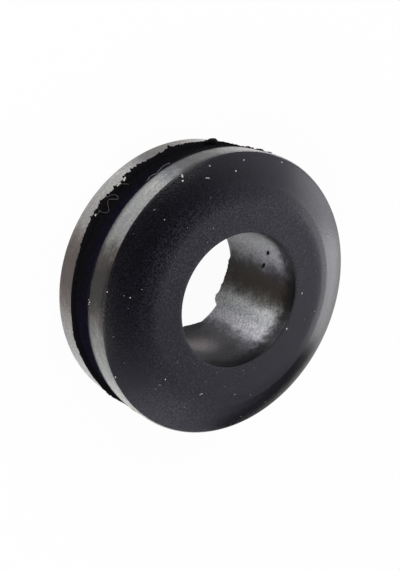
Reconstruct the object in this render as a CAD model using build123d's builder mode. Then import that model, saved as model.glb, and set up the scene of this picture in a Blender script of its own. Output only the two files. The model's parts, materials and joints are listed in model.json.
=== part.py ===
from build123d import *
from math import atan2, pi, sin, tan
import os

# Open rubber cable grommet, one moulding: two flanges on a neck, with a bore for the cable and
# a groove for the edge of the panel.  Millimetres, +Z up.  The grommet lies on its rear end face.
# The origin is on the bore's axis at that face, and +Z runs along the bore to the front end face.

os.makedirs("parts", exist_ok=True)

# Bore, neck and groove
bore_d = 8.0  # cable bore
neck_wall = 2.0  # rubber between the bore and the groove's floor
groove_w = 1.8  # gap between the flanges

# Flanges, both alike
flange_reach = 2.5  # how far a flange stands out from the groove's floor
band_w = 1.5  # height of the outer band
cone_w = 2.5  # radial width of the cone between the band and the end face's flat
cone_h = 0.9  # rise of that cone

# Roundings
shoulder_r = 3.0  # where the cone runs into the flat
mouth_r = 0.25  # both mouths of the bore
rim_r = 0.12  # where the cone meets the band

# Mould flash: a thin torn skin that stands out round the groove-side edge of each flange
flash_t = 0.08  # thickness
flash_h_rear = 0.13  # mean height on the rear flange
flash_h_front = 0.08  # mean height on the front flange
flash_root = 0.4  # how far its blank reaches into the flange
flash_corners = 120  # corners of its torn edge
flash_least = 0.25  # lowest point of the edge, as a share of the mean height

# Radii and heights that follow
bore_r = bore_d / 2
neck_r = bore_r + neck_wall
flange_r = neck_r + flange_reach
flat_r = flange_r - cone_w
rear_rim_z = cone_h
rear_groove_z = rear_rim_z + band_w
front_groove_z = rear_groove_z + groove_w
front_rim_z = front_groove_z + band_w
height = front_rim_z + cone_h

# A rounding takes up r * tan(turn / 2) of each line that it joins, so the shoulder's radius is
# held to what the flat has left beside the mouth's own rounding.
cone_angle = atan2(cone_h, cone_w)
flat_left = flat_r - bore_r - mouth_r
shoulder = min(shoulder_r, 0.9 * flat_left / tan(cone_angle / 2))


def torn_height(mean_height, turn, seed):
    """Height of the torn flash at a turn round the rim: slow swells with short tears on them."""
    swell = 1.0 + 0.35 * sin(3 * turn + seed) + 0.25 * sin(7 * turn + 2 * seed)
    tears = 0.35 * sin(29 * turn + seed) + 0.3 * sin(43 * turn + 3 * seed)
    return mean_height * max(flash_least, swell + tears)


def torn_edge(mean_height, seed):
    """Corners of the flash's outer edge, as points round the flange."""
    corners = []
    for i in range(flash_corners):
        turn = 2 * pi * i / flash_corners
        reach = flange_r + torn_height(mean_height, turn, seed)
        corners.append(Vector(reach, 0).rotate(Axis.Z, 360 * i / flash_corners))
    return corners


with BuildPart() as grommet:
    # Half section, turned about the bore's axis
    with BuildSketch(Plane.XZ) as section:
        with BuildLine():
            Polyline(
                (bore_r, 0),
                (flat_r, 0),
                (flange_r, rear_rim_z),
                (flange_r, rear_groove_z),
                (neck_r, rear_groove_z),
                (neck_r, front_groove_z),
                (flange_r, front_groove_z),
                (flange_r, front_rim_z),
                (flat_r, height),
                (bore_r, height),
                close=True,
            )
        make_face()
        for z in (0, height):
            fillet(section.vertices().sort_by_distance((bore_r, z))[0], mouth_r)
            fillet(section.vertices().sort_by_distance((flat_r, z))[0], shoulder)
        for z in (rear_rim_z, front_rim_z):
            fillet(section.vertices().sort_by_distance((flange_r, z))[0], rim_r)
    revolve(axis=Axis.Z)

    # Flash, flush with the two walls of the groove
    for wall_z, depth, mean_height, seed in (
        (rear_groove_z, -flash_t, flash_h_rear, 1.0),
        (front_groove_z, flash_t, flash_h_front, 2.6),
    ):
        with BuildSketch(Plane.XY.offset(wall_z)):
            with BuildLine():
                Polyline(*torn_edge(mean_height, seed), close=True)
            make_face()
            Circle(flange_r - flash_root, mode=Mode.SUBTRACT)
        extrude(amount=depth)

grommet.part.label = "grommet"
export_step(grommet.part, "parts/grommet.step")
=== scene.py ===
# Open rubber cable grommet: the looks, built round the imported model.
# Metres, in the frame of the CAD model: the grommet lies on its rear end face, its bore's axis is
# +Z, and the origin is on that axis at the rear end face. Azimuths are in degrees from +X.

import json
import math
import random

import bmesh
import bpy
from bpy.props import FloatProperty, FloatVectorProperty, IntProperty, PointerProperty
from mathutils import Matrix, Vector


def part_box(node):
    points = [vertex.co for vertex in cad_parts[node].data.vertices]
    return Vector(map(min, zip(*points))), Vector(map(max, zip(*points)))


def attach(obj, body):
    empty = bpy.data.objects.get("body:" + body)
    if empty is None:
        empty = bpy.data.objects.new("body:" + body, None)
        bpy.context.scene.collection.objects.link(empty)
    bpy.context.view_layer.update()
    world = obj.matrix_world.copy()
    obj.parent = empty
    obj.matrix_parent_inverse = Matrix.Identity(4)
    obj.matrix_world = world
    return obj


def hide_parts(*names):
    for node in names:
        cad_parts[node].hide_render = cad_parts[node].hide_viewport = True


bl_info = {
    "name": "Rubber cable grommet",
    "version": (1, 0, 0),
    "blender": (4, 5, 0),
    "location": "3D View > Sidebar > Grommet",
    "description": "Builds an open rubber cable grommet with its mould flash and dust",
    "category": "Add Mesh",
}

MM = 0.001
NODE = "grommet"
BODY = "root"

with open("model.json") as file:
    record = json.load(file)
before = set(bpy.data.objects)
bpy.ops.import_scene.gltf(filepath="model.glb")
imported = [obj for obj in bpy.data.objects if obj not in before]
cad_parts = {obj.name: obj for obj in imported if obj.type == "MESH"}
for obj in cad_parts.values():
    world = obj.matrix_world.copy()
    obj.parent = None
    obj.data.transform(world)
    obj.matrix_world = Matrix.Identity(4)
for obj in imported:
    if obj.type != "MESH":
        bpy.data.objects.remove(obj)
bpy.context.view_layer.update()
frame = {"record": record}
LOWEST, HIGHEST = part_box(NODE)
BORE = next(mount for mount in frame["record"]["mounts"] if mount["name"] == "bore")
HEIGHT = HIGHEST.z - LOWEST.z
BORE_RADIUS = BORE["dims"]["r_mm"] * MM
MOUTHS_ROUNDING = HEIGHT - BORE["dims"]["length_mm"] * MM

# The mould's halves don't quite line up, so the moulding leans: it shifts sideways by these
# shares of the depth below its front rim.
LEAN = (0.034, -0.009)

MERGING = 0.002 * MM  # vertices closer than this are one
TEAR_START = 0.001 * MM  # how far beyond its plain edge a torn ring starts
FLASH_STEPS = 720  # steps of a torn edge round the axis


# ---------------------------------------------------------------- sizes and colours

def linear(hex_colour):
    """An sRGB hex colour as linear red, green, blue and alpha."""
    channels = [int(hex_colour[i:i + 2], 16) / 255 for i in (0, 2, 4)]
    return tuple(
        c / 12.92 if c <= 0.04045 else ((c + 0.055) / 1.055) ** 2.4 for c in channels
    ) + (1.0,)


def length(name, description, default):
    """A length that a user can change, in metres."""
    return FloatProperty(
        name=name, description=description, default=default, min=0.0, precision=5,
        unit="LENGTH", subtype="DISTANCE",
    )


def tint(name, description, hex_colour):
    """A colour that a user can change."""
    return FloatVectorProperty(
        name=name, description=description, default=linear(hex_colour), size=4, min=0.0,
        max=1.0, subtype="COLOR",
    )


class GrommetSizes(bpy.types.PropertyGroup):
    """Sizes of the moulding and its flash."""

    flange_radius: length("Flange radius", "Radius of both flanges", 8.5 * MM)
    neck_radius: length("Neck radius", "Radius of the groove's floor", 6.0 * MM)
    flat_radius: length("Flat radius", "Where the flat meets the dished ring", 5.9 * MM)
    crease_radius: length("Crease radius", "Where the cone begins", 6.62 * MM)
    crease_depth: length("Crease depth", "Of the crease below the flat", 0.14 * MM)
    bulge_radius: length("Bulge radius", "Where the cone turns steeper", 7.6 * MM)
    bulge_depth: length("Bulge depth", "Of that turn below the flat", 0.46 * MM)
    band_width: length("Band width", "Height of each flange's outer band", 1.5 * MM)
    cone_height: length("Cone height", "Rise of the cone on each end face", 0.9 * MM)
    shoulder_rounding: length("Shoulder rounding", "At the flat's edge", 3.0 * MM)
    crease_rounding: length("Crease rounding", "Where the cone begins", 0.8 * MM)
    bulge_rounding: length("Bulge rounding", "Of the cone's swell", 8.0 * MM)
    front_mouth: length("Front mouth rounding", "At the bore's front mouth", 0.05 * MM)
    rim_rounding: length("Rim rounding", "Between the cone and the band", 0.12 * MM)
    edge_rounding: length("Groove edge rounding", "At the groove's outer edges", 0.03 * MM)
    flash_thickness: length("Flash thickness", "Of the torn fins on the flanges", 0.07 * MM)
    flash_root: length("Flash root", "How deep a fin is rooted in its flange", 0.25 * MM)
    steps: IntProperty(
        name="Steps", description="Faces round the axis", default=480, min=24, max=720
    )
    spacing: length("Spacing", "Longest edge along the section", 0.2 * MM)


class GrommetColours(bpy.types.PropertyGroup):
    """Colours of the torn rubber, of what sticks to the grommet and of the board."""

    torn: tint("Torn rubber", "Of the flash, the lumps and the crumbs in the bore", "0A090C")
    # The slivers' pale grey is a painted highlight, where their edges catch the light.
    sliver_highlight: tint("Sliver highlight", "Of the slivers that lift off the edge", "5E5E66")
    dust: tint("Dust", "Of the specks and the crumbs of dust", "BFBBAE")
    lint: tint("Lint", "Of the thread of lint", "55534F")
    board: tint("Board", "Of the floor", "FAFAFA")


# ---------------------------------------------------------------- helpers for modelling

def start_clean():
    """Object mode with nothing selected."""
    if bpy.context.mode != "OBJECT":
        bpy.ops.object.mode_set(mode="OBJECT")
    bpy.ops.object.select_all(action="DESELECT")


def edit_all():
    """Edit mode on the active piece, with all of it selected."""
    bpy.ops.object.mode_set(mode="EDIT")
    bpy.ops.mesh.select_all(action="SELECT")


def named(name):
    """Names the active object and its mesh, and returns the object."""
    piece = bpy.context.active_object
    piece.name = name
    piece.data.name = name
    return piece


def front_rim():
    """The height of the front rim, where the cone meets the band."""
    return HIGHEST.z - bpy.context.scene.grommet_sizes.cone_height


def settle(piece):
    """Applies the piece's place to its mesh, and leans it as the moulding leans."""
    leaning = Matrix.Identity(4)
    for axis, share in enumerate(LEAN):
        leaning[axis][2] = -share
        leaning[axis][3] = share * front_rim()
    piece.data.transform(leaning @ piece.matrix_world)
    piece.matrix_world = Matrix.Identity(4)
    piece.data.update()


def dress(piece, material):
    """Gives the piece its material and its body."""
    piece.data.materials.append(material)
    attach(piece, BODY)


def select_vertices(piece, test):
    """Selects the vertices of the edited mesh whose place passes the test."""
    mesh = bmesh.from_edit_mesh(piece.data)
    for element in (*mesh.faces, *mesh.edges, *mesh.verts):
        element.select = False
    found = [vertex for vertex in mesh.verts if test(vertex.co)]
    for vertex in found:
        vertex.select = True
    mesh.select_flush_mode()
    bmesh.update_edit_mesh(piece.data)
    if not found:
        raise RuntimeError(f"{piece.name}: nothing to select")


def near(place, reach=1e-7):
    """A test for vertices at that place."""
    return lambda co: (co - place).length < reach


def single_vertex(name, place):
    """A new piece of one vertex at the place, left in edit mode."""
    start_clean()
    bpy.ops.mesh.primitive_plane_add(size=MM, location=(0, 0, 0))
    piece = named(name)
    bpy.ops.object.mode_set(mode="EDIT")
    bpy.ops.mesh.select_mode(type="VERT")
    bpy.ops.mesh.merge(type="CENTER")
    bpy.ops.transform.translate(value=place)
    return piece


def trace_section(piece, corners):
    """Extrudes the one vertex of the piece from corner to corner, and closes the outline."""
    for here, there in zip(corners, corners[1:]):
        select_vertices(piece, near(here))
        bpy.ops.mesh.extrude_vertices_move(TRANSFORM_OT_translate={"value": there - here})
    first, last = corners[0], corners[-1]
    select_vertices(piece, lambda co: near(first)(co) or near(last)(co))
    bpy.ops.mesh.edge_face_add()


def round_corner(piece, corner, before, after, radius, segments):
    """Rounds one corner of the traced outline to the radius."""
    turn = (corner - before).angle(after - corner)
    select_vertices(piece, near(corner))
    bpy.ops.mesh.bevel(
        offset_type="OFFSET", offset=radius * math.tan(turn / 2), segments=segments,
        profile=0.5, affect="VERTICES",
    )


def divide_long_edges(piece, spacing):
    """Cuts each edge of the outline into lengths of at most the spacing."""
    mesh = bmesh.from_edit_mesh(piece.data)
    for edge_length in sorted({round(edge.calc_length(), 7) for edge in mesh.edges}):
        cuts = math.ceil(edge_length / spacing) - 1
        if cuts < 1:
            continue
        mesh = bmesh.from_edit_mesh(piece.data)
        for vertex in mesh.verts:
            vertex.select = False
        for edge in mesh.edges:
            edge.select = abs(edge.calc_length() - edge_length) < 1e-7
        mesh.select_flush_mode()
        bmesh.update_edit_mesh(piece.data)
        bpy.ops.mesh.subdivide(number_cuts=cuts)


# ---------------------------------------------------------------- the moulding

class GROMMET_OT_moulding(bpy.types.Operator):
    """Models the rubber moulding: flanges, neck, groove and bore"""

    bl_idname = "grommet.moulding"
    bl_label = "Moulding"

    def execute(self, context):
        s = context.scene.grommet_sizes
        bottom = LOWEST.z
        top = HIGHEST.z
        rear_wall = bottom + s.cone_height + s.band_width
        front_wall = front_rim() - s.band_width
        rear_mouth = MOUTHS_ROUNDING - s.front_mouth
        # Radius, depth below the end face, rounding and its segments, from the flat to the neck.
        half = (
            (s.flat_radius, 0.0, s.shoulder_rounding, 6),
            (s.crease_radius, s.crease_depth, s.crease_rounding, 4),
            (s.bulge_radius, s.bulge_depth, s.bulge_rounding, 8),
            (s.flange_radius, s.cone_height, s.rim_rounding, 4),
            (s.flange_radius, s.cone_height + s.band_width, s.edge_rounding, 2),
            (s.neck_radius, s.cone_height + s.band_width, s.rim_rounding, 3),
        )
        outline = (
            (BORE_RADIUS, bottom, rear_mouth, 8),
            *((radius, bottom + depth, *rounding) for radius, depth, *rounding in half),
            *((radius, top - depth, *rounding) for radius, depth, *rounding in reversed(half)),
            (BORE_RADIUS, top, s.front_mouth, 4),
        )
        corners = [Vector((radius, 0.0, level)) for radius, level, _, _ in outline]

        piece = single_vertex("moulding", corners[0])
        trace_section(piece, corners)
        for i, (_, _, rounding, segments) in enumerate(outline):
            before = corners[i - 1]
            after = corners[(i + 1) % len(corners)]
            round_corner(piece, corners[i], before, after, rounding, segments)
        divide_long_edges(piece, s.spacing)
        bpy.ops.object.mode_set(mode="OBJECT")
        bpy.ops.object.transform_apply()
        turned = piece.modifiers.new("turned", "SCREW")
        turned.axis = "Z"
        turned.angle = 2 * math.pi
        turned.screw_offset = 0.0
        turned.steps = turned.render_steps = s.steps
        turned.use_merge_vertices = True
        turned.merge_threshold = MERGING
        bpy.ops.object.modifier_apply(modifier=turned.name)
        edit_all()
        bpy.ops.mesh.remove_doubles(threshold=MERGING)
        bpy.ops.mesh.normals_make_consistent(inside=False)
        bpy.ops.object.mode_set(mode="OBJECT")
        bpy.ops.object.shade_smooth()

        # A band takes in most of its own rounding, and the bore all of its rear mouth's.
        piece.data.materials.clear()
        band = s.flange_radius - 0.6 * s.rim_rounding
        bore = BORE_RADIUS + 0.03 * MM
        mouth = BORE_RADIUS + rear_mouth

        def in_groove(z):
            return rear_wall - MERGING < z < front_wall + MERGING

        areas = (
            (face_rubber(), lambda r, z: r < band and not in_groove(z)),
            (band_rubber(), lambda r, z: r >= band),
            (groove_rubber(), lambda r, z: r < band and in_groove(z)),
            (bore_rubber(), lambda r, z: r < bore or (r < mouth and z < bottom + rear_mouth)),
        )
        for i, (material, inside) in enumerate(areas):
            piece.data.materials.append(material)
            for face in piece.data.polygons:
                if inside(math.hypot(*face.center.xy), face.center.z):
                    face.material_index = i
        settle(piece)
        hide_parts(NODE)
        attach(piece, BODY)
        return {"FINISHED"}


# ---------------------------------------------------------------- torn flash

def azimuth(place):
    """The azimuth of a place round the bore's axis."""
    return math.degrees(math.atan2(place.y, place.x))


def azimuth_of(step):
    """The azimuth, from -180 to 180, of one of a torn edge's steps."""
    around = step / FLASH_STEPS * 360
    return around - 360 if around > 180 else around


def torn_edge(seed, tallest, hold, tooth):
    """Heights in whole levels round a torn edge.

    The edge wanders between 0 and the tallest level and holds for a few steps, its heights
    uneven, and a share of the holds end in a single taller tooth.
    """
    random.seed(seed)
    edge = []
    height = tallest // 2
    while len(edge) < FLASH_STEPS:
        height = min(tallest, max(0, height + random.choice((-2, -1, -1, 1, 1, 2))))
        for _ in range(random.randint(1, hold)):
            edge.append(max(0, height + random.choice((-1, 0, 0, 1))))
        if random.random() < tooth:
            edge.append(height + random.randint(1, 3))
    return edge[:FLASH_STEPS]


def between(marks, around):
    """The value at an azimuth, on straight runs between marks of azimuth and value.

    Beyond the marks it is -1.
    """
    if not marks[0][0] <= around <= marks[-1][0]:
        return -1
    for (first, low), (last, high) in zip(marks, marks[1:]):
        if around <= last:
            return low + (high - low) * (around - first) / (last - first)


def torn_fin(name, level, root, radius, rise, hang, thickness, edge):
    """A thin torn skin of rubber round the bore's axis, from its hidden root to the radius.

    The edge's levels each add the rise to the radius, and the skin hangs lower by that share of
    its reach. Where the edge has a level below 0 there is no skin.
    """
    outwards = math.copysign(1, rise)

    def widen(share):
        bpy.ops.transform.resize(value=(share, share, 1), center_override=(0, 0, level))

    def height(place):
        return edge[round(azimuth(place) / 360 * FLASH_STEPS) % FLASH_STEPS]

    def torn(place, step):
        reach = (math.hypot(place.x, place.y) - radius) * outwards
        return reach > TEAR_START / 2 and height(place) == step

    start_clean()
    bpy.ops.mesh.primitive_circle_add(vertices=FLASH_STEPS, radius=root, location=(0, 0, level))
    piece = named(name)
    bpy.ops.object.transform_apply()
    bpy.ops.object.mode_set(mode="EDIT")
    bpy.ops.mesh.select_mode(type="VERT")
    bpy.ops.mesh.select_all(action="SELECT")
    bpy.ops.mesh.extrude_edges_move()
    widen(radius / root)
    bpy.ops.mesh.extrude_edges_move()
    widen(1 + outwards * TEAR_START / radius)
    for step in range(1, 1 + max(edge)):
        if step not in edge:
            continue
        select_vertices(piece, lambda co: torn(co, step))
        widen((radius + step * rise) / radius)
        bpy.ops.transform.translate(value=(0, 0, -hang * step * abs(rise)))
    if min(edge) < 0:
        select_vertices(piece, lambda co: height(co) < 0)
        bpy.ops.mesh.delete(type="VERT")
    bpy.ops.object.mode_set(mode="OBJECT")
    wall = piece.modifiers.new("wall", "SOLIDIFY")
    wall.thickness = thickness
    wall.offset = 0.0
    bpy.ops.object.modifier_apply(modifier=wall.name)
    edit_all()
    bpy.ops.mesh.normals_make_consistent(inside=False)
    bpy.ops.object.mode_set(mode="OBJECT")
    bpy.ops.object.shade_smooth_by_angle(angle=math.radians(40))
    settle(piece)
    return piece


class GROMMET_OT_flash(bpy.types.Operator):
    """Models the torn mould flash at the groove's two outer edges"""

    bl_idname = "grommet.flash"
    bl_label = "Torn flash"

    # Azimuth and the levels of skin left there, over which the tear is uneven.
    REAR_LEFT = (
        (-180, 2), (-158, 2), (-154, 3), (-149, 6), (-145, 6), (-136, 9), (-126, 7),
        (-115, 10), (-107, 8), (-99, 10), (-92, 6), (-84, 3), (-74, 1), (-60, 1), (-48, 3),
        (-15, 3), (20, 2), (180, 2),
    )
    FRONT_LEFT = (
        (-180, 6), (-146, 5), (-138, 2), (-120, 1), (-20, 1), (60, 2), (160, 3), (180, 6),
    )

    def execute(self, context):
        s = context.scene.grommet_sizes
        rubber = torn_rubber()
        rear_edge = LOWEST.z + s.cone_height + s.band_width
        front_edge = front_rim() - s.band_width
        half = s.flash_thickness / 2
        # Name, height, rise of a level, hang, skin left, the tear, and how the tear's levels
        # thin that skin: the share that stays at 0 and what each level adds.
        fins = (
            ("rear_flash", rear_edge - half + 0.02 * MM, 0.02 * MM, 0.3, self.REAR_LEFT,
             torn_edge(5, 4, 5, 0.15), 0.55, 0.22),
            ("front_flash", front_edge + half + 0.004 * MM, 0.016 * MM, 0.1, self.FRONT_LEFT,
             torn_edge(8, 4, 6, 0.1), 0.4, 0.3),
        )
        for name, level, rise, hang, left, tear, least, more in fins:
            edge = [
                round(between(left, azimuth_of(step)) * (least + more * height))
                for step, height in enumerate(tear)
            ]
            fin = torn_fin(
                name, level, s.flange_radius - s.flash_root, s.flange_radius, rise, hang,
                s.flash_thickness, edge,
            )
            dress(fin, rubber)
        return {"FINISHED"}


class GROMMET_OT_mouth_flash(bpy.types.Operator):
    """Models the remnant of flash that stands into the bore's rear mouth"""

    bl_idname = "grommet.mouth_flash"
    bl_label = "Mouth flash"

    # Azimuth and the levels of skin left there: it breaks off at 78 degrees, and another remnant
    # grows from 64 degrees down.
    LEFT = (
        (-4, 0), (4, 6), (11, 12), (14, 11), (20, 18), (41, 19), (48, 16), (56, 12), (64, 0),
        (76, 0), (78.5, 10), (81, 15.5), (84, 20.4), (87, 20.8), (88, 22.8), (89.5, 21),
        (95, 19.4), (97, 20.4), (100, 20.6), (102, 19.4), (107, 19.2), (115, 17), (126, 14.6),
        (129, 12), (141, 0),
    )

    def execute(self, context):
        piece = torn_fin(
            "mouth_flash", level=LOWEST.z + 0.88 * MM, root=BORE_RADIUS + 0.3 * MM,
            radius=BORE_RADIUS + 0.1 * MM, rise=-0.02 * MM, hang=1.75, thickness=0.03 * MM,
            edge=[round(between(self.LEFT, azimuth_of(step))) for step in range(FLASH_STEPS)],
        )
        dress(piece, mouth_rubber())
        return {"FINISHED"}


# ---------------------------------------------------------------- lumps, slivers, lint and dust

def cylinder_place(around, radius, level):
    """The place at an azimuth, and at a radius and a height in millimetres."""
    around = math.radians(around)
    return Vector((radius * MM * math.cos(around), radius * MM * math.sin(around), level * MM))


def put_round_axis(piece, around, radius, level):
    """Turns the piece to face outwards, moves it to its place round the axis and settles it."""
    piece.rotation_euler.z = math.radians(around)
    piece.location = cylinder_place(around, radius, level)
    bpy.context.view_layer.update()
    settle(piece)


def rough_ball(name, subdivisions, radius, offset, evenly, seed):
    """A ball whose vertices are pushed about by up to the offset, left in edit mode."""
    start_clean()
    bpy.ops.mesh.primitive_ico_sphere_add(
        subdivisions=subdivisions, radius=radius, location=(0, 0, 0),
    )
    piece = named(name)
    edit_all()
    bpy.ops.transform.vertex_random(
        offset=offset, uniform=evenly, normal=1.0 - evenly, seed=seed,
    )
    return piece


def thread(name, places, thickness):
    """A round thread through the places: a chain of vertices, made a smooth curve and a mesh."""
    single_vertex(name, places[0])
    for here, there in zip(places, places[1:]):
        bpy.ops.mesh.extrude_vertices_move(TRANSFORM_OT_translate={"value": there - here})
    bpy.ops.object.mode_set(mode="OBJECT")
    bpy.ops.object.convert(target="CURVE")
    bpy.ops.object.mode_set(mode="EDIT")
    bpy.ops.curve.select_all(action="SELECT")
    bpy.ops.curve.spline_type_set(type="NURBS")
    bpy.ops.object.mode_set(mode="OBJECT")
    line = bpy.context.active_object.data
    line.bevel_depth = thickness / 2
    line.bevel_resolution = 2
    line.use_fill_caps = True
    for spline in line.splines:
        spline.order_u = 3
        spline.use_endpoint_u = True
        spline.resolution_u = 4
    bpy.ops.object.convert(target="MESH")
    bpy.ops.object.shade_smooth()
    piece = bpy.context.active_object
    settle(piece)
    return piece


class GROMMET_OT_lumps(bpy.types.Operator):
    """Models the blob on the rear groove edge and the swelling on the front one"""

    bl_idname = "grommet.lumps"
    bl_label = "Flash lumps"

    # Name, azimuth, radius and height, size outwards, round the rim and along the axis, and the
    # seed of its roughness. Millimetres.
    LUMPS = (
        ("rear_blob", -153.8, 8.55, 2.42, (0.36, 0.72, 0.34), 3),
        ("rear_blob_end", -151.2, 8.5, 2.4, (0.28, 0.4, 0.22), 4),
        ("front_swelling", -161.5, 8.52, 4.25, (0.15, 0.42, 0.12), 6),
    )

    def execute(self, context):
        rubber = torn_rubber()
        for name, around, radius, level, size, seed in self.LUMPS:
            piece = rough_ball(
                name, subdivisions=3, radius=0.5 * MM, offset=0.09 * MM, evenly=0.2, seed=seed,
            )
            bpy.ops.mesh.vertices_smooth(factor=0.5, repeat=1)
            bpy.ops.transform.resize(value=size)
            bpy.ops.object.mode_set(mode="OBJECT")
            bpy.ops.object.shade_smooth_by_angle(angle=math.radians(50))
            put_round_axis(piece, around, radius, level)
            dress(piece, rubber)
        return {"FINISHED"}


class GROMMET_OT_slivers(bpy.types.Operator):
    """Models the two slivers of flash that lift off the front groove edge"""

    bl_idname = "grommet.slivers"
    bl_label = "Lifted slivers"

    RADIUS, THICKNESS = 8.53, 0.035  # millimetres
    # Azimuth and height along each sliver, in millimetres.
    RUNS = {
        "upper_sliver": ((-114.5, 4.2), (-116.5, 4.07), (-118.1, 4.09), (-119.0, 4.28)),
        "lower_sliver": (
            (-119.2, 4.25), (-120.5, 4.17), (-122.7, 4.03), (-124.6, 4.0), (-126.2, 4.1),
        ),
    }

    def execute(self, context):
        # The slivers' grey is a painted highlight.
        rubber = sliver_highlight_rubber()
        for name, run in self.RUNS.items():
            places = [cylinder_place(around, self.RADIUS, level) for around, level in run]
            dress(thread(name, places, self.THICKNESS * MM), rubber)
        return {"FINISHED"}


class GROMMET_OT_crumbs(bpy.types.Operator):
    """Adds the two black crumbs stuck to the bore's wall"""

    bl_idname = "grommet.crumbs"
    bl_label = "Black crumbs"

    # Name, azimuth and height of each, and their size off the wall, round it and along the bore,
    # before they are turned on the wall. Millimetres.
    CRUMBS = (("upper_crumb", 148.0, 4.5), ("lower_crumb", 132.0, 3.7))
    SIZE = (0.12, 0.58, 0.22)
    TURN = -40  # degrees

    def execute(self, context):
        rubber = torn_rubber()
        for name, around, level in self.CRUMBS:
            piece = rough_ball(
                name, subdivisions=2, radius=0.5 * MM, offset=0.1 * MM, evenly=0.3, seed=5,
            )
            bpy.ops.transform.resize(value=self.SIZE)
            bpy.ops.transform.rotate(
                value=math.radians(self.TURN), orient_axis="X", center_override=(0, 0, 0),
            )
            bpy.ops.object.mode_set(mode="OBJECT")
            bpy.ops.object.shade_smooth()
            put_round_axis(piece, around, BORE_RADIUS / MM, level)
            dress(piece, rubber)
        return {"FINISHED"}


class GROMMET_OT_lint(bpy.types.Operator):
    """Models the thread of lint caught on the torn rear edge"""

    bl_idname = "grommet.lint"
    bl_label = "Lint"

    THICKNESS = 0.022  # millimetres
    # Azimuth, radius and height along each thread, in millimetres.
    RUNS = {
        "lint_loop": (
            (-97.0, 8.6, 2.46), (-96.7, 8.5, 2.9), (-98.4, 8.4, 3.15), (-100.1, 8.5, 2.8),
            (-102.1, 8.6, 2.58), (-103.2, 8.5, 2.8), (-103.8, 8.4, 3.07), (-105.0, 8.4, 2.98),
            (-105.2, 8.5, 2.68), (-104.0, 8.6, 2.5), (-102.6, 8.65, 2.48),
        ),
        "lint_end": ((-109.2, 8.62, 2.5), (-110.2, 8.6, 2.7), (-111.1, 8.45, 2.96)),
        "lint_tip": ((-94.6, 8.6, 2.5), (-96.0, 8.62, 2.62), (-97.4, 8.6, 2.55)),
    }

    def execute(self, context):
        lint = grey_lint()
        for name, run in self.RUNS.items():
            places = [cylinder_place(*place) for place in run]
            dress(thread(name, places, self.THICKNESS * MM), lint)
        return {"FINISHED"}


def stick_on(target, origin, direction):
    """The place and the normal where a ray meets the target's surface."""
    met, place, normal, _ = target.ray_cast(origin, direction)
    if not met:
        raise RuntimeError(f"no surface of {target.name} on the ray")
    return place, normal


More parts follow.
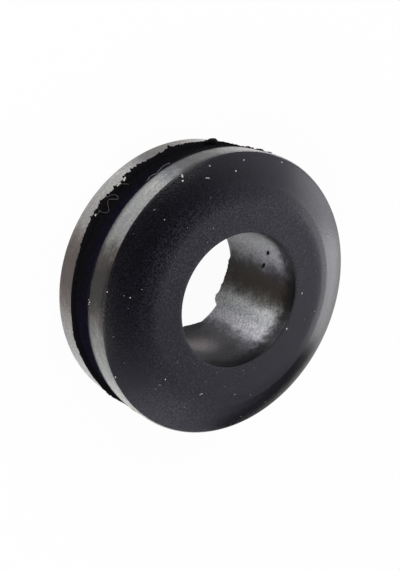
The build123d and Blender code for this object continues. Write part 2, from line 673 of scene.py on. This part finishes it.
class GROMMET_OT_dust(bpy.types.Operator):
    """Scatters crumbs and specks of dust on the front face, the bands and the torn edge"""

    bl_idname = "grommet.dust"
    bl_label = "Dust"

    # Larger specks on the front face: radius and azimuth, then length and width, and the turn of
    # the length on the face in degrees. Millimetres here and below.
    LARGE = (
        (8.3, -123, 0.22, 0.1, 70), (8.1, -122, 0.1, 0.09, 0), (7.6, -132, 0.26, 0.045, -25),
        (8.1, -135, 0.1, 0.09, 0), (7.5, -146, 0.1, 0.08, 30), (8.0, -151, 0.08, 0.08, 0),
        (8.2, -171, 0.09, 0.08, 0), (7.3, -106, 0.06, 0.05, 0), (8.0, -106, 0.05, 0.04, 0),
        (8.35, -71, 0.07, 0.06, 0), (7.2, -70, 0.07, 0.06, 0), (5.8, 5, 0.26, 0.045, 40),
        (4.6, 117, 0.12, 0.1, 0), (4.3, 87, 0.11, 0.1, 20), (6.2, -22, 0.08, 0.07, 0),
        (8.35, -36, 0.1, 0.07, 0),
    )
    # Grains on the bands: azimuth, height and size.
    ON_BANDS = (
        (-112.7, 1.54, 0.09), (-98, 1.9, 0.07), (-120, 5.0, 0.07), (-139, 1.5, 0.07),
        (-45, 4.9, 0.07), (-64.3, 4.4, 0.09), (-63.4, 4.33, 0.06), (-65.0, 4.3, 0.05),
    )
    # Crumbs caught on the torn rear edge: azimuth, length, width and turn.
    ON_EDGE = ((-112.2, 0.34, 0.15, 35), (-109.2, 0.3, 0.11, -15), (-95.0, 0.13, 0.1, 0))
    EDGE_RADIUS, EDGE_LEVEL = 8.6, 2.45
    # Small specks scattered over the front face: their number, and the least and the greatest of
    # their size and of their radius round the bore's axis.
    FINE_SPECKS, FINE_SIZE, FINE_RADIUS = 46, (0.02, 0.045), (4.3, 8.3)
    LARGE_THICK, FINE_THICK, EDGE_THICK = 0.05, 0.04, 0.1
    OUTSIDE = 12.0  # a radius well outside the bands

    def lie_of_grains(self, moulding):
        """The place, normal, length, width, thickness and turn of each grain."""
        random.seed(11)
        specks = [(*speck, self.LARGE_THICK) for speck in self.LARGE]
        for _ in range(self.FINE_SPECKS):
            size = random.uniform(*self.FINE_SIZE)
            specks.append((
                random.uniform(*self.FINE_RADIUS), random.uniform(-180, 180), size,
                size * random.uniform(0.6, 1.0), random.uniform(0, 180), self.FINE_THICK,
            ))
        for radius, around, long, wide, turn, thick in specks:
            above = cylinder_place(around, radius, 0)
            above.z = HIGHEST.z + MM
            yield (*stick_on(moulding, above, Vector((0, 0, -1))), long, wide, thick, turn)
        for around, level, size in self.ON_BANDS:
            out = cylinder_place(around, self.OUTSIDE, level)
            inwards = -Vector((out.x, out.y, 0)).normalized()
            yield (*stick_on(moulding, out, inwards), size, size, self.FINE_THICK, 0)
        for around, long, wide, turn in self.ON_EDGE:
            place = cylinder_place(around, self.EDGE_RADIUS, self.EDGE_LEVEL)
            outwards = Vector((place.x, place.y, 0)).normalized()
            shift = (front_rim() - place.z) * Vector((*LEAN, 0))
            yield place + shift, outwards, long, wide, self.EDGE_THICK, turn

    def execute(self, context):
        context.view_layer.update()
        grain = rough_ball("dust", subdivisions=2, radius=0.5, offset=0.12, evenly=0.3, seed=2)
        bpy.ops.object.mode_set(mode="OBJECT")
        bpy.ops.object.shade_flat()
        copies = []
        lies = list(self.lie_of_grains(bpy.data.objects["moulding"]))
        for place, normal, long, wide, thick, turn in lies:
            start_clean()
            grain.select_set(True)
            context.view_layer.objects.active = grain
            bpy.ops.object.duplicate(linked=False)
            copy = context.active_object
            spin = Matrix.Rotation(math.radians(turn), 4, "Z")
            tilt = normal.to_track_quat("Z", "Y").to_matrix().to_4x4()
            size = Matrix.Diagonal((long * MM, wide * MM, thick * MM, 1))
            copy.matrix_world = Matrix.Translation(place) @ tilt @ spin @ size
            copies.append(copy)
        bpy.data.objects.remove(grain, do_unlink=True)
        start_clean()
        for copy in copies:
            copy.select_set(True)
            context.view_layer.objects.active = copy
        bpy.ops.object.transform_apply()
        bpy.ops.object.join()
        dress(named("dust"), pale_dust())
        return {"FINISHED"}


# ---------------------------------------------------------------- materials

# The middle of a noise, where nearly all its values lie.
NOISE_SPAN = {"From Min": 0.3, "From Max": 0.7}


def add_node(tree, kind, settings=None, inputs=None):
    """Adds a shader node, applies its settings, and sets or links its inputs.

    The setting "stops" is a colour ramp's own: pairs of a place from 0 to 1 and a hex colour.
    """
    node = tree.nodes.new("ShaderNode" + kind)
    for name, value in (settings or {}).items():
        if name != "stops":
            setattr(node, name, value)
            continue
        elements = node.color_ramp.elements
        while len(elements) < len(value):
            elements.new(1.0)
        for element, (place, hex_colour) in zip(elements, value):
            element.position = place
            element.color = linear(hex_colour)
    for name, value in (inputs or {}).items():
        if isinstance(value, bpy.types.NodeSocket):
            tree.links.new(value, node.inputs[name])
        else:
            node.inputs[name].default_value = value
    return node


def new_material(name):
    """An empty node material and its tree."""
    material = bpy.data.materials.new(name)
    material.use_nodes = True
    material.node_tree.nodes.clear()
    return material, material.node_tree


def new_rubber(name):
    """An empty node material, its tree, and the place of a point on the piece."""
    material, tree = new_material(name)
    return material, tree, add_node(tree, "TexCoord").outputs["Object"]


def finish_rubber(tree, place, colour, grain, roughness, gloss):
    """Gives the colour a rubber's surface: dull, with the fine grain of the mould's tool.

    The grain is its size and depth in millimetres, coarser than the real few hundredths so that
    it shows. The roughness is one number, or the two between which the grain varies it.
    """
    size, depth = grain
    bumps = add_node(tree, "TexNoise", inputs={
        "Vector": place, "Scale": 1 / (size * MM), "Detail": 2.0, "Roughness": 0.6,
    }).outputs["Fac"]
    normal = add_node(tree, "Bump", inputs={
        "Strength": 1.0, "Distance": depth * MM, "Height": bumps,
    })
    if isinstance(roughness, tuple):
        roughness = add_node(tree, "MapRange", inputs={
            "Value": bumps, **NOISE_SPAN, "To Min": roughness[0], "To Max": roughness[1],
        }).outputs["Result"]
    shader = add_node(tree, "BsdfPrincipled", inputs={
        "Base Color": colour, "Roughness": roughness, "IOR": 1.5, "Specular IOR Level": gloss,
        "Normal": normal.outputs["Normal"],
    })
    add_node(tree, "OutputMaterial", inputs={"Surface": shader.outputs["BSDF"]})


def axis_distance(tree, place):
    """The distance of each point from the bore's axis."""
    across = add_node(tree, "VectorMath", {"operation": "MULTIPLY"}, {
        0: place, 1: (1.0, 1.0, 0.0),
    })
    return add_node(tree, "VectorMath", {"operation": "LENGTH"}, {
        0: across.outputs[0],
    }).outputs["Value"]


def colour_round_axis(tree, place, wander, stops):
    """A colour that changes round the bore's axis, its edges wandering by an angle.

    Each stop is an azimuth and a hex colour.
    """
    parts = add_node(tree, "SeparateXYZ", inputs={0: place}).outputs
    around = add_node(tree, "Math", {"operation": "ARCTAN2"}, {
        0: parts["Y"], 1: parts["X"],
    })
    drift = add_node(tree, "TexNoise", inputs={
        "Vector": place, "Scale": 1 / (0.7 * MM), "Detail": 5.0, "Roughness": 0.65,
    })
    drift = add_node(tree, "MapRange", inputs={
        "Value": drift.outputs["Fac"], "To Min": -math.radians(wander),
        "To Max": math.radians(wander),
    })
    around = add_node(tree, "Math", {"operation": "ADD"}, {
        0: around.outputs[0], 1: drift.outputs["Result"],
    })
    share = add_node(tree, "MapRange", inputs={
        "Value": around.outputs[0], "From Min": -math.pi, "From Max": math.pi,
    })
    return add_node(tree, "ValToRGB", {
        "stops": [((angle + 180) / 360, colour) for angle, colour in stops],
    }, {"Fac": share.outputs["Result"]}).outputs["Color"]


def mottled(tree, place, colour, size, least, most):
    """The colour made paler and darker in patches, with a slight drift of hue.

    The patches have that size along x, y and z, in millimetres, and the colour is multiplied by
    the least to the most over them, and nowhere by less than 0.
    """
    # Turned, so that no flat face lies along the noise's own grid, where it is weakest.
    patches = add_node(tree, "TexNoise", inputs={
        "Scale": 1.0, "Detail": 3.0, "Roughness": 0.6,
        "Vector": add_node(tree, "Mapping", inputs={
            "Vector": place, "Rotation": (0.5, 0.7, 0.3),
            "Scale": [1 / (side * MM) for side in size],
        }).outputs[0],
    })
    depth = add_node(tree, "MapRange", {"clamp": False}, {
        "Value": patches.outputs["Fac"], **NOISE_SPAN, "To Min": least, "To Max": most,
    })
    depth = add_node(tree, "Math", {"operation": "MAXIMUM"}, {
        0: depth.outputs["Result"], 1: 0.0,
    })
    paler = add_node(tree, "VectorMath", {"operation": "SCALE"}, {
        0: colour, "Scale": depth.outputs[0],
    })
    hue = add_node(tree, "VectorMath", {"operation": "MULTIPLY_ADD"}, {
        0: patches.outputs["Color"], 1: (0.22, 0.22, 0.26), 2: (0.89, 0.89, 0.87),
    })
    return add_node(tree, "VectorMath", {"operation": "MULTIPLY"}, {
        0: paler.outputs[0], 1: hue.outputs[0],
    }).outputs[0]


def face_rubber():
    """Black rubber as moulded: near black with a faint violet cast, satin, finely grained.

    It is painted greyer in places round the axis, on the cone and on the flat ring round the bore:
    painted reflection, with a trace of bloom.
    """
    material, tree, place = new_rubber("moulded_black_rubber_face")
    # Painted reflection: the greys round the axis on the cone and on the flat stand in for light
    # that they reflect.
    cone = colour_round_axis(tree, place, wander=8.0, stops=(
        (-180, "08070C"), (-150, "0A090E"), (-90, "0A090E"), (-30, "0E0D13"), (0, "26252A"),
        (30, "17161C"), (60, "0C0B10"), (90, "0E0D12"), (120, "1C1B20"), (150, "26252A"),
        (180, "08070C"),
    ))
    flat = colour_round_axis(tree, place, wander=8.0, stops=(
        (-180, "19181D"), (-150, "16151B"), (-90, "19181D"), (-60, "111016"), (0, "131217"),
        (40, "0E0D12"), (90, "0C0B10"), (150, "141319"), (180, "19181D"),
    ))
    # From the flat ring, through the crease round it, to the cone.
    share = add_node(tree, "MapRange", inputs={
        "Value": axis_distance(tree, place), "From Min": 5.9 * MM, "From Max": 7.2 * MM,
    })
    speck = (0.1, 0.1, 0.1)
    colour = add_node(tree, "Mix", {"data_type": "RGBA"}, {
        "Factor": share.outputs["Result"],
        6: mottled(tree, place, flat, speck, -2.2, 4.2),
        7: mottled(tree, place, cone, speck, -0.7, 2.7),
    }).outputs[2]
    finish_rubber(tree, place, colour, grain=(0.09, 0.009), roughness=(0.17, 0.25), gloss=0.5)
    return material


def band_rubber():
    """The flanges' outer bands: black rubber under a grey bloom of wax and fine talc, and painted
    reflection.

    Round the rim the grey rises and falls as painted reflection, and the bloom is drawn out in fine
    lines along it.
    """
    material, tree, place = new_rubber("black_rubber_band_bloom_and_painted_reflection")
    # Painted reflection with some bloom: the grey's rise and fall round the rim, and its dark
    # stretch, stand in for the bright and dark surroundings the bands reflect.
    bloom_and_reflection = colour_round_axis(tree, place, wander=8.0, stops=(
        (-180, "6F6F6F"), (-166, "BCBABB"), (-156, "A9A7A5"), (-150, "8F8E8A"), (-144, "6C6D68"),
        (-138, "504F4C"), (-130, "3C403C"), (-125, "4C4B4D"), (-120, "757776"), (-114, "979892"),
        (-108, "8B8E88"), (-99, "7F807D"), (-90, "73746F"), (-84, "3C3732"), (-78, "170F09"),
        (-66, "0D0805"), (-60, "3F3B36"), (-54, "656561"), (-48, "75756F"), (-36, "8B908A"),
        (-24, "AEAFA8"), (-12, "BEBEB4"), (15, "828282"), (45, "666666"), (70, "7C7C7C"),
        (95, "505050"), (118, "868686"), (140, "606060"), (160, "7E7E7E"), (180, "6F6F6F"),
    ))
    # The front one is darker and violet along the groove, and the rear one is paler all over by an
    # even grey.
    level = add_node(tree, "MapRange", inputs={
        "Value": add_node(tree, "SeparateXYZ", inputs={0: place}).outputs["Z"],
        "From Min": LOWEST.z, "From Max": HIGHEST.z,
    }).outputs["Result"]
    darker_by_groove = add_node(tree, "ValToRGB", {"stops": (
        (3.5 * MM / HEIGHT, "FFFFFF"), (4.2 * MM / HEIGHT, "3A3350"), (4.6 * MM / HEIGHT, "FFFFFF"),
    )}, {"Fac": level})
    rear_paler = add_node(tree, "ValToRGB", {"stops": (
        (2.4 * MM / HEIGHT, "403935"), (2.5 * MM / HEIGHT, "000000"),
    )}, {"Fac": level})
    bloom_and_reflection = add_node(tree, "VectorMath", {"operation": "MULTIPLY_ADD"}, {
        0: bloom_and_reflection, 1: darker_by_groove.outputs["Color"], 2: rear_paler.outputs["Color"],
    }).outputs[0]
    bloom_and_reflection = mottled(tree, place, bloom_and_reflection, (1.6, 1.6, 0.07), 0.86, 1.14)
    bloom_and_reflection = mottled(tree, place, bloom_and_reflection, (0.13, 0.13, 0.13), 0.7, 1.3)
    finish_rubber(tree, place, bloom_and_reflection, grain=(0.13, 0.004), roughness=(0.36, 0.5), gloss=0.27)
    return material


def groove_rubber():
    """The groove's walls and floor: deep black, dull, turning violet-black further in."""
    material, tree, place = new_rubber("dull_black_rubber_groove")
    share = add_node(tree, "MapRange", inputs={
        "Value": axis_distance(tree, place), "From Min": 6.0 * MM, "From Max": 8.5 * MM,
    })
    black = add_node(tree, "ValToRGB", {"stops": (
        (0.0, "060508"), (0.35, "0A0812"), (0.48, "16122B"), (0.62, "100D1E"), (0.8, "060508"),
    )}, {"Fac": share.outputs["Result"]})
    side = colour_round_axis(tree, place, wander=4.0, stops=(
        (-180, "070608"), (-70, "070608"), (-45, "100D1E"), (-15, "130F24"), (5, "070608"),
        (180, "070608"),
    ))
    black = add_node(tree, "VectorMath", {"operation": "ADD"}, {
        0: black.outputs["Color"], 1: side,
    }).outputs[0]
    shade = mottled(tree, place, black, (0.2, 0.2, 0.2), 0.6, 1.5)
    finish_rubber(tree, place, shade, grain=(0.13, 0.006), roughness=0.65, gloss=0.15)
    return material


def bore_rubber():
    """The bore's wall: black rubber with a patchy grey bloom and painted reflection, painted darker
    towards the front mouth.
    """
    material, tree, place = new_rubber("black_rubber_bore_bloom_and_painted_reflection")
    # Painted reflection with some bloom: the bright and dark patches round the bore stand in for
    # the surroundings its wall reflects.
    bloom_and_reflection = colour_round_axis(tree, place, wander=10.0, stops=(
        (-180, "8A8A8A"), (-120, "707070"), (-60, "5C5C5C"), (0, "434343"), (15, "302E32"),
        (46, "3C3A3E"), (56, "5D5C5F"), (62, "8F8D93"), (68, "D4D4D7"), (74, "E4E5E7"),
        (80, "C6C8CA"), (89, "D8DBD8"), (95, "999A96"), (102, "52514C"), (108, "3A332D"),
        (113, "332C27"), (122, "322D2A"), (127, "454346"), (132, "6B6A6E"), (139, "919092"),
        (148, "ABACAE"), (158, "B4B6B6"), (168, "A3A4A0"), (180, "6C6D6D"),
    ))
    # Towards the front mouth the wall is painted darker along a ragged line: painted shade.
    ragged = add_node(tree, "TexNoise", inputs={
        "Vector": place, "Scale": 1 / (0.4 * MM), "Detail": 5.0, "Roughness": 0.7,
    })
    ragged = add_node(tree, "MapRange", inputs={
        "Value": ragged.outputs["Fac"], **NOISE_SPAN, "To Min": -0.3 * MM, "To Max": 0.3 * MM,
    })
    height = add_node(tree, "Math", {"operation": "ADD"}, {
        0: add_node(tree, "SeparateXYZ", inputs={0: place}).outputs["Z"],
        1: ragged.outputs["Result"],
    }).outputs[0]
    painted_shading_by_depth = add_node(tree, "MapRange", {"interpolation_type": "SMOOTHSTEP"}, {
        "Value": height, "From Min": HIGHEST.z - 1.4 * MM, "From Max": HIGHEST.z - 0.4 * MM,
        "To Min": 1.0, "To Max": 0.08,
    })
    # Deeper in it is painted paler: painted light against the shade that falls deep in the bore.
    painted_light_deep_in = add_node(tree, "MapRange", inputs={
        "Value": height, "From Min": LOWEST.z, "From Max": LOWEST.z + 5.0 * MM,
        "To Min": 1.35, "To Max": 1.0,
    })
    painted_shading_by_depth = add_node(tree, "Math", {"operation": "MULTIPLY"}, {
        0: painted_shading_by_depth.outputs["Result"], 1: painted_light_deep_in.outputs["Result"],
    })
    bloom_and_reflection = add_node(tree, "VectorMath", {"operation": "SCALE"}, {
        0: bloom_and_reflection, "Scale": painted_shading_by_depth.outputs[0],
    })
    # A pale, slightly pink smear on the wall, 3 mm across.
    reach = add_node(tree, "VectorMath", {"operation": "DISTANCE"}, {
        0: place, 1: cylinder_place(30, BORE_RADIUS / MM, 2.8),
    })
    smear = add_node(tree, "MapRange", {"interpolation_type": "SMOOTHSTEP"}, {
        "Value": reach.outputs["Value"], "From Min": 0.0, "From Max": 1.7 * MM,
        "To Min": 1.0, "To Max": 0.0,
    })
    smear = add_node(tree, "VectorMath", {"operation": "SCALE"}, {
        0: linear("867C7D")[:3], "Scale": smear.outputs["Result"],
    })
    bloom_and_reflection = add_node(tree, "VectorMath", {"operation": "ADD"}, {
        0: bloom_and_reflection.outputs[0], 1: smear.outputs[0],
    }).outputs[0]
    bloom_and_reflection = mottled(tree, place, bloom_and_reflection, (0.14, 0.14, 0.1), 0.58, 1.42)
    finish_rubber(tree, place, bloom_and_reflection, grain=(0.13, 0.01), roughness=0.4, gloss=0.12)
    return material


def mouth_rubber():
    """Flash at the rear mouth: thin matt rubber, with the bore's grey bloom and painted reflection
    on it.
    """
    material, tree, place = new_rubber("rubber_mouth_flash_bloom_and_painted_reflection")
    # Painted reflection, as on the bore's wall next to it.
    bloom_and_reflection = colour_round_axis(tree, place, wander=4.0, stops=(
        (-180, "8A8A8A"), (0, "555355"), (52, "5A585A"), (64, "A0A0A4"), (74, "E4E5E7"),
        (89, "D8DBD8"), (95, "999A96"), (102, "6E6D68"), (109, "5A5550"), (124, "5A5653"),
        (132, "7A7A7B"), (148, "A0A1A3"), (180, "8A8A8A"),
    ))
    bloom_and_reflection = mottled(tree, place, bloom_and_reflection, (0.14, 0.14, 0.1), 0.6, 1.4)
    finish_rubber(tree, place, bloom_and_reflection, grain=(0.13, 0.006), roughness=0.5, gloss=0.22)
    return material


def plain_mottled(name, colour, roughness, gloss):
    """A dull material of one colour with a fine grain and a slight mottle."""
    material, tree, place = new_rubber(name)
    shade = mottled(tree, place, colour[:3], (0.2, 0.2, 0.2), 0.6, 1.5)
    finish_rubber(tree, place, shade, grain=(0.13, 0.006), roughness=roughness, gloss=gloss)
    return material


def torn_rubber():
    """Torn mould flash: thin black rubber whose rough tear gives off hardly any light."""
    torn = bpy.context.scene.grommet_colours.torn
    return plain_mottled("torn_black_rubber_flash", torn, 0.75, 0.1)


def sliver_highlight_rubber():
    """Slivers of flash: rubber painted grey, a painted highlight where their edges catch the light.
    """
    sliver_highlight = bpy.context.scene.grommet_colours.sliver_highlight
    return plain_mottled("grey_rubber_sliver_painted_highlight", sliver_highlight, 0.6, 0.3)


def pale_dust():
    """Crumbs of pale dust: dry, matt, a warm off-white that stands out on the black."""
    return plain_mottled("dry_pale_dust", bpy.context.scene.grommet_colours.dust, 0.9, 0.2)


def grey_lint():
    """A thread of lint: dull grey cotton, thin enough to look faint."""
    lint = bpy.context.scene.grommet_colours.lint
    return plain_mottled("dull_grey_cotton_lint", lint, 0.9, 0.1)


def white_floor():
    """Matt white board, seen as plain white with the soft shadow left on it."""
    material, tree = new_material("matt_white_board")
    board = add_node(tree, "BsdfDiffuse", inputs={
        "Color": bpy.context.scene.grommet_colours.board,
    })
    white = add_node(tree, "Emission", inputs={"Strength": 1.0})
    path = add_node(tree, "LightPath")
    seen = add_node(tree, "Math", {"operation": "MAXIMUM"}, {
        0: path.outputs["Is Camera Ray"], 1: path.outputs["Is Glossy Ray"],
    })
    seen = add_node(tree, "Math", {"operation": "MAXIMUM"}, {
        0: seen.outputs[0], 1: path.outputs["Is Transmission Ray"],
    })
    # The rest is the board's own light, which has the shadow in it.
    share = add_node(tree, "Math", {"operation": "MULTIPLY"}, {
        0: seen.outputs[0], 1: 0.96,
    })
    mix = add_node(tree, "MixShader", inputs={
        0: share.outputs[0], 1: board.outputs[0], 2: white.outputs[0],
    })
    add_node(tree, "OutputMaterial", inputs={"Surface": mix.outputs[0]})
    return material


def black_card():
    """Matt black card: dark all over, with no gloss."""
    material, tree = new_material("matt_black_card")
    shader = add_node(tree, "BsdfDiffuse", inputs={"Color": linear("0A0A0A")})
    add_node(tree, "OutputMaterial", inputs={"Surface": shader.outputs[0]})
    return material


# ---------------------------------------------------------------- stage

# Soft boxes round the grommet: name, azimuth, height above the floor's level, width, height and
# tilt, all in degrees as seen from the grommet, and glow (1 is a white card's glow).
SOFT_BOXES = (
    ("far_right_box", 102.0, 8.0, 24.0, 29.0, 0.0, 1.45),
    ("right_tilted_box", 121.0, 19.0, 32.0, 27.0, 40.0, 0.85),
    ("far_high_box", 102.0, 46.0, 20.0, 14.0, 0.0, 0.22),
    ("near_left_box", 315.0, 38.0, 50.0, 34.0, 0.0, 1.9),
    ("near_right_box", 225.0, 38.0, 50.0, 34.0, 0.0, 1.9),
)
BOX_DISTANCE = 0.3
CARD_GLOW = 4.0  # watts to the square metre, at which a lamp glows as a white card does

FLOOR_SIDE = 1.2

# The dark card's azimuth, distance, width and height.
CARD_AZIMUTH, CARD_DISTANCE, CARD_WIDTH, CARD_HEIGHT = 72.0, 60 * MM, 37 * MM, 21 * MM

# Where the room is darker: the direction, how near to it that starts, as the cosine of the angle
# to it, and the room's glow there and in that direction.
DARK_PARTS = (
    ((0.0, -0.23, 0.97), 0.31, 1.04, 0.07),
    ((0.33, 0.92, 0.21), 0.8, 1.0, 0.42),
)

# The camera looks down at the front face, turned on its own axis. Its place is given from the
# middle of the front rim, to its right, up and back, in flange radii.
CAMERA_DOWN, CAMERA_ROLL = 51.03, 116.72
CAMERA_PLACE = (-0.213, 0.079, 6.192)
CAMERA_LENS = 57.52


def soft_box(context, name, around, above, wide, high, tilt, glow):
    """A rectangular lamp that faces the grommet."""
    around, above = math.radians(around), math.radians(above)
    towards = Vector((
        math.cos(around) * math.cos(above), math.sin(around) * math.cos(above), math.sin(above),
    ))
    lamp = bpy.data.lights.new(name, "AREA")
    lamp.shape = "RECTANGLE"
    lamp.size = 2 * BOX_DISTANCE * math.tan(math.radians(wide) / 2)
    lamp.size_y = 2 * BOX_DISTANCE * math.tan(math.radians(high) / 2)
    lamp.energy = glow * CARD_GLOW * lamp.size * lamp.size_y
    holder = bpy.data.objects.new(name, lamp)
    level = Vector((0, 0, 1)).cross(towards).normalized()
    turn = Matrix((level, towards.cross(level), towards)).transposed().to_4x4()
    turn = turn @ Matrix.Rotation(-math.radians(tilt), 4, "Z")
    holder.matrix_world = Matrix.Translation(BOX_DISTANCE * towards) @ turn
    holder.visible_camera = False
    context.scene.collection.objects.link(holder)


def dark_card():
    """A black card standing at the far side, which keeps the light off the face's lower rim."""
    around = math.radians(CARD_AZIMUTH)
    start_clean()
    bpy.ops.mesh.primitive_plane_add(
        size=1.0, rotation=(math.pi / 2, 0, around + math.pi / 2),
        location=(
            CARD_DISTANCE * math.cos(around), CARD_DISTANCE * math.sin(around),
            LOWEST.z + CARD_HEIGHT / 2,
        ),
    )
    card = named("dark_card")
    card.scale = (CARD_WIDTH, CARD_HEIGHT, 1)
    bpy.ops.object.transform_apply()
    card.data.materials.append(black_card())
    card.visible_camera = False


def dim_room():
    """A room that is dark overhead, a little to the near side, and dim in one far corner."""
    world = bpy.data.worlds.new("room")
    world.use_nodes = True
    tree = world.node_tree
    tree.nodes.clear()
    direction = add_node(tree, "TexCoord").outputs["Generated"]
    levels = []
    for towards, start, plain, dark in DARK_PARTS:
        nearness = add_node(tree, "VectorMath", {"operation": "DOT_PRODUCT"}, {
            0: direction, 1: Vector(towards).normalized(),
        })
        levels.append(add_node(tree, "MapRange", {"interpolation_type": "SMOOTHSTEP"}, {
            "Value": nearness.outputs["Value"], "From Min": start, "From Max": 1.0,
            "To Min": plain, "To Max": dark,
        }).outputs["Result"])
    level = add_node(tree, "Math", {"operation": "MULTIPLY"}, dict(enumerate(levels)))
    glow = add_node(tree, "Background", inputs={
        "Color": linear("F3EFFF"), "Strength": level.outputs[0],
    })
    add_node(tree, "OutputWorld", inputs={"Surface": glow.outputs[0]})
    return world


def add_camera(context):
    """The camera, held by its place, its roll and how far it looks down."""
    roll, down = math.radians(CAMERA_ROLL), math.radians(CAMERA_DOWN)
    back = Vector((0, -math.cos(down), math.sin(down)))
    level = Vector((1, 0, 0))
    rise = Vector((0, math.sin(down), math.cos(down)))
    right = math.cos(roll) * level + math.sin(roll) * rise
    up = -math.sin(roll) * level + math.cos(roll) * rise
    place = Vector((0, 0, front_rim()))
    for share, direction in zip(CAMERA_PLACE, (right, up, back)):
        place += share * context.scene.grommet_sizes.flange_radius * direction
    camera = bpy.data.cameras.new("camera")
    camera.sensor_fit = "AUTO"
    camera.sensor_width = 36.0
    camera.lens = CAMERA_LENS
    camera.clip_start = MM
    holder = bpy.data.objects.new("camera", camera)
    turn = Matrix((right, up, back)).transposed().to_4x4()
    holder.matrix_world = Matrix.Translation(place) @ turn
    context.scene.collection.objects.link(holder)
    context.scene.camera = holder


class GROMMET_OT_stage(bpy.types.Operator):
    """Adds the floor, the camera, the lamps, the dark card and the dim room"""

    bl_idname = "grommet.stage"
    bl_label = "Stage"

    def execute(self, context):
        start_clean()
        bpy.ops.mesh.primitive_plane_add(size=FLOOR_SIDE, location=(0, 0, LOWEST.z))
        floor = named("floor")
        floor.data.materials.append(white_floor())
        add_camera(context)
        for box in SOFT_BOXES:
            soft_box(context, *box)
        dark_card()
        context.scene.world = dim_room()
        context.scene.view_settings.view_transform = "Standard"
        return {"FINISHED"}


# ---------------------------------------------------------------- the add-on

PIECES = (
    GROMMET_OT_moulding, GROMMET_OT_flash, GROMMET_OT_mouth_flash, GROMMET_OT_lumps,
    GROMMET_OT_slivers, GROMMET_OT_crumbs, GROMMET_OT_lint, GROMMET_OT_dust, GROMMET_OT_stage,
)


class GROMMET_PT_panel(bpy.types.Panel):
    """Lists the grommet's pieces, sizes and colours"""

    bl_idname = "GROMMET_PT_panel"
    bl_label = "Cable grommet"
    bl_space_type = "VIEW_3D"
    bl_region_type = "UI"
    bl_category = "Grommet"

    def draw(self, context):
        for operator in PIECES:
            self.layout.operator(operator.bl_idname)
        for group in (context.scene.grommet_sizes, context.scene.grommet_colours):
            for name in type(group).__annotations__:
                self.layout.prop(group, name)


CLASSES = (GrommetSizes, GrommetColours, *PIECES, GROMMET_PT_panel)


def register():
    for cls in CLASSES:
        bpy.utils.register_class(cls)
    bpy.types.Scene.grommet_sizes = PointerProperty(type=GrommetSizes)
    bpy.types.Scene.grommet_colours = PointerProperty(type=GrommetColours)


def unregister():
    del bpy.types.Scene.grommet_colours
    del bpy.types.Scene.grommet_sizes
    for cls in reversed(CLASSES):
        bpy.utils.unregister_class(cls)


def main():
    register()
    bpy.ops.grommet.moulding()
    bpy.ops.grommet.flash()
    bpy.ops.grommet.mouth_flash()
    bpy.ops.grommet.lumps()
    bpy.ops.grommet.slivers()
    bpy.ops.grommet.crumbs()
    bpy.ops.grommet.lint()
    bpy.ops.grommet.dust()
    bpy.ops.grommet.stage()


if __name__ == "__main__":
    main()
